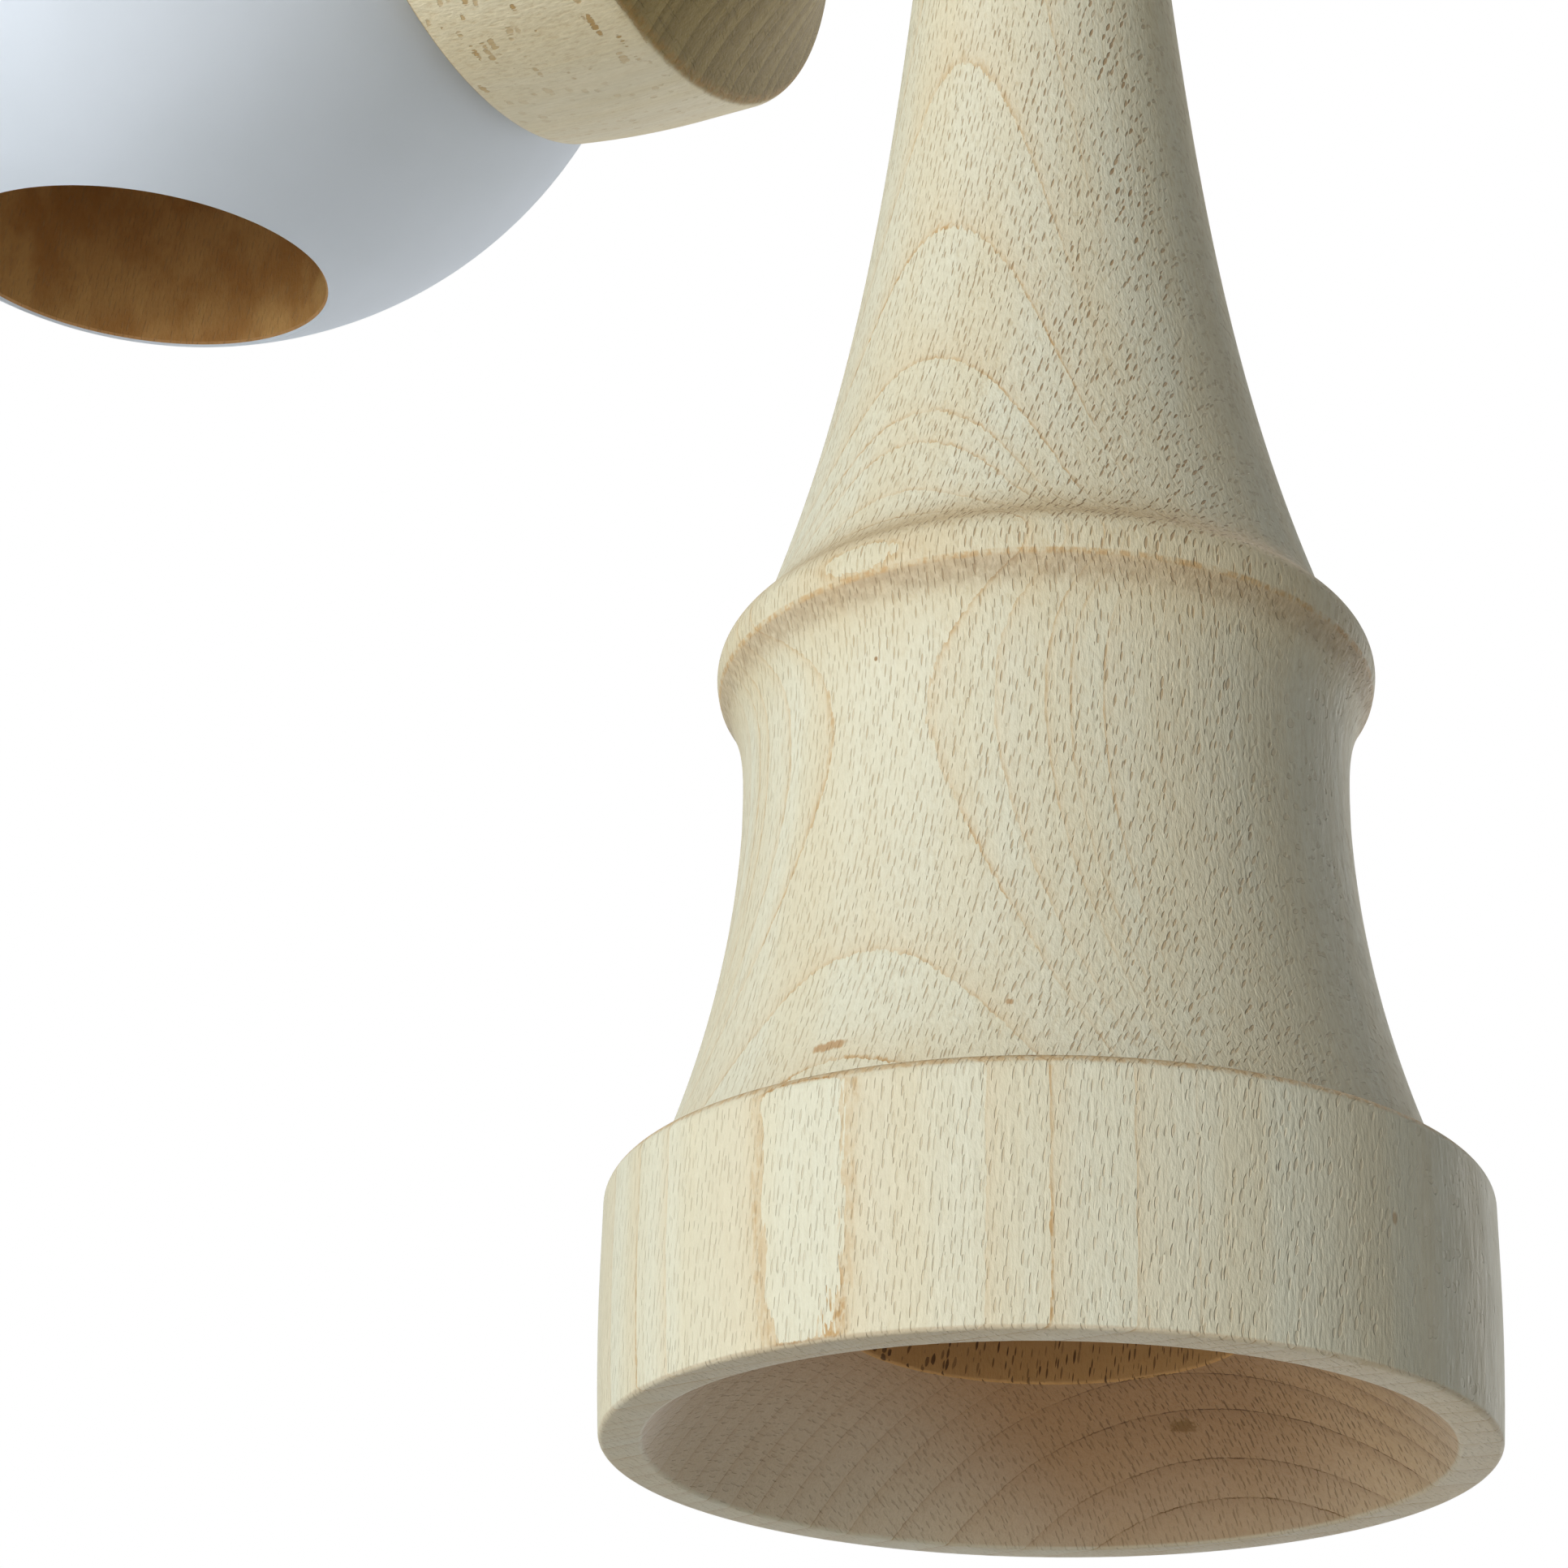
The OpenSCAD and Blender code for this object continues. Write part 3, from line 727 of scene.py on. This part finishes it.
viewer = {
    "at": (60.1015, -145.4069, -40.3701), "right": (0.895657, 0.443879, 0.027756),
    "up": (0.165697, -0.390956, 0.905372), "ahead": (-0.412727, 0.806303, 0.423712),
    "lens": 81.2106, "sensor": 36.0, "clip": (0.005, 50.0),
}
lensData = bpy.data.cameras.new("viewer")
lensData.lens, lensData.sensor_width, lensData.sensor_fit = viewer["lens"], viewer["sensor"], "HORIZONTAL"
lensData.clip_start, lensData.clip_end = viewer["clip"]
camera = bpy.data.objects.new("viewer", lensData)
bpy.context.scene.collection.objects.link(camera)
# columns: right, up, the way back and the place
columns = (viewer["right"], viewer["up"], [-a for a in viewer["ahead"]], [c * mm for c in viewer["at"]])
camera.matrix_world = Matrix([*zip(*columns), (0, 0, 0, 1)])
bpy.context.scene.camera = camera


# pale floor and soft studio light

studio = {
    "floorHeight": -0.16, "floorRadius": 3.0, "floorColour": (0.80, 0.80, 0.79), "floorRough": 0.8,
    "mottle": 0.97, "mottleScale": 0.004, "fadeFrom": 0.25, "fadeTo": 0.9, "backdrop": (1.0, 1.0, 1.0),
    "ambient": (1.0, 1.0, 1.0), "ambientStrength": 0.01, "aim": (-0.015, 0.0, 0.06), "away": 0.9, "lampSize": 0.55,
    # each lamp: turn from +X and height above level in degrees, watts and colour
    "lamps": {"key": (-102.5, 4, 8.7, (1.0, 1.0, 1.0)), "coolSide": (-152.5, -12, 1.1, (0.6, 0.87, 1.0)),
              "topBack": (102.5, 62, 2.0, (1.0, 1.0, 1.0)), "topLeft": (177.5, 62, 1.1, (1.0, 1.0, 1.0)),
              "backFill": (67.5, 10, 2.2, (1.0, 1.0, 1.0)), "lowBack": (102.5, -12, 2.8, (1.0, 1.0, 1.0))},
}


def seenRay(tree):
    # 1 for what the camera sees, straight or by way of gloss or glass, and 0 for bounced light
    paths = addNode(tree, "ShaderNodeLightPath")
    return calc(tree, "MAXIMUM", paths.outputs["Is Camera Ray"],
                calc(tree, "MAXIMUM", paths.outputs["Is Glossy Ray"], paths.outputs["Is Transmission Ray"]))


def floorDisc(name, radius, height, rings=24, turns=96):
    # flat disc: rings that widen evenly, closed at the middle
    a = np.arange(turns) * 2 * np.pi / turns
    r = radius * np.arange(1, rings + 1) / rings
    grid = np.stack((r[:, None] * np.cos(a), r[:, None] * np.sin(a), np.full((rings, turns), height)), axis=-1)
    index = np.arange(rings * turns).reshape(rings, turns)
    low, high = index[:-1], index[1:]
    quads = np.stack((low, high, np.roll(high, -1, axis=1), np.roll(low, -1, axis=1)), axis=-1).reshape(-1, 4)
    middle = np.column_stack((np.full(turns, rings * turns), index[0], np.roll(index[0], -1)))
    mesh = bpy.data.meshes.new(name)
    mesh.from_pydata(grid.reshape(-1, 3).tolist() + [(0, 0, height)], [], quads.tolist() + middle.tolist())
    disc = bpy.data.objects.new(name, mesh)
    bpy.context.scene.collection.objects.link(disc)
    return disc


floor = floorDisc("studioFloor", studio["floorRadius"], studio["floorHeight"])
floorFinish, tree, shader, where, place = startMaterial("floorPaint")
floorShade = tuple(studio["mottle"] * c for c in studio["floorColour"])
mottled = mixColour(tree, noise(tree, place, studio["mottleScale"]), studio["floorColour"], floorShade)
feed(tree, shader.inputs["Base Color"], mottled)
shader.inputs["Roughness"].default_value = studio["floorRough"]
# the floor keeps the shadow near the object and fades to the white of the backdrop farther out
fade = remap(tree, vecCalc(tree, "LENGTH", place), studio["fadeFrom"] / mm, studio["fadeTo"] / mm)
fade = calc(tree, "MULTIPLY", fade, seenRay(tree))
glow = addNode(tree, "ShaderNodeEmission")
glow.inputs["Color"].default_value = (*studio["backdrop"], 1)
glow.inputs["Strength"].default_value = 1.0
seenFloor = addNode(tree, "ShaderNodeMixShader")
feed(tree, seenFloor.inputs[0], fade)
feed(tree, seenFloor.inputs[1], shader.outputs[0])
feed(tree, seenFloor.inputs[2], glow.outputs[0])
feed(tree, tree.nodes["Material Output"].inputs["Surface"], seenFloor.outputs[0])
floor.data.materials.append(floorFinish)

for name, (turnDeg, heightDeg, watts, lampColour) in studio["lamps"].items():
    # on a dome about the object: aim + away * (cos height * (cos turn, sin turn), sin height)
    lampTurn, lampHeight = math.radians(turnDeg), math.radians(heightDeg)
    fromAim = Vector((math.cos(lampTurn) * math.cos(lampHeight), math.sin(lampTurn) * math.cos(lampHeight),
                      math.sin(lampHeight)))
    lampData = bpy.data.lights.new(name, "AREA")
    lampData.shape, lampData.size, lampData.energy, lampData.color = "DISK", studio["lampSize"], watts, lampColour
    light = bpy.data.objects.new(name, lampData)
    light.location = Vector(studio["aim"]) + studio["away"] * fromAim
    light.rotation_euler = (-fromAim).to_track_quat("-Z", "Y").to_euler()
    bpy.context.scene.collection.objects.link(light)

world = bpy.data.worlds.new("studio")
world.use_nodes = True
bpy.context.scene.world = world
tree = world.node_tree
sky = tree.nodes["Background"]
sky.inputs["Color"].default_value = (*studio["ambient"], 1)
sky.inputs["Strength"].default_value = studio["ambientStrength"]
white = addNode(tree, "ShaderNodeBackground")
white.inputs["Color"].default_value = (*studio["backdrop"], 1)
either = addNode(tree, "ShaderNodeMixShader")
feed(tree, either.inputs[0], seenRay(tree))
feed(tree, either.inputs[1], sky.outputs[0])
feed(tree, either.inputs[2], white.outputs[0])
feed(tree, tree.nodes["World Output"].inputs["Surface"], either.outputs[0])
bpy.context.scene.view_settings.view_transform = "Standard"
print("camera, floor and light ready")
